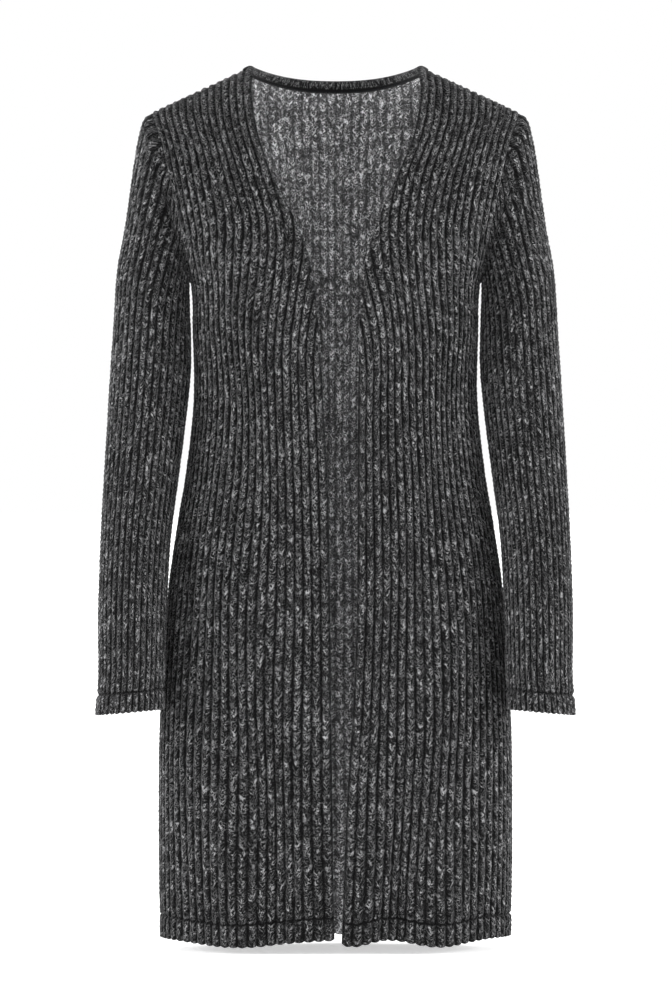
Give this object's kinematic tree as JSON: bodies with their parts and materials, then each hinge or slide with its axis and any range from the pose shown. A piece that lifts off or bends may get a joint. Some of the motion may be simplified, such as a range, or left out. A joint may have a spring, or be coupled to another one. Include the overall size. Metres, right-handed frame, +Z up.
{
  "type": "cardigan",
  "caption": "Long open-front cardigan in a chunky vertical rib, with set-in long sleeves, a deep V opening and a narrow band round the back of the neck, in its hollow worn form",
  "frame": {"origin": "midway between the middles of the two shoulder seams, at the level where the cloth rests on the shoulders", "axes": "+Z up, -Y to the front of the garment, +X to the wearer's left"},
  "size_m": [0.485, 0.2445, 0.8927],
  "materials": {
    "body_rib": "charcoal wool marl in a chunky rib, matt and slightly hairy",
    "sleeve_rib": "charcoal wool marl in a chunky rib, matt and slightly hairy",
    "neck_band": "darker charcoal wool in a firm plain knit, matt"
  },
  "bodies": {
    "root": {"front_right": "body_rib", "front_left": "body_rib", "back": "body_rib", "sleeve_right": "sleeve_rib", "sleeve_left": "sleeve_rib", "neck_band": "neck_band"}
  },
  "joints": []
}
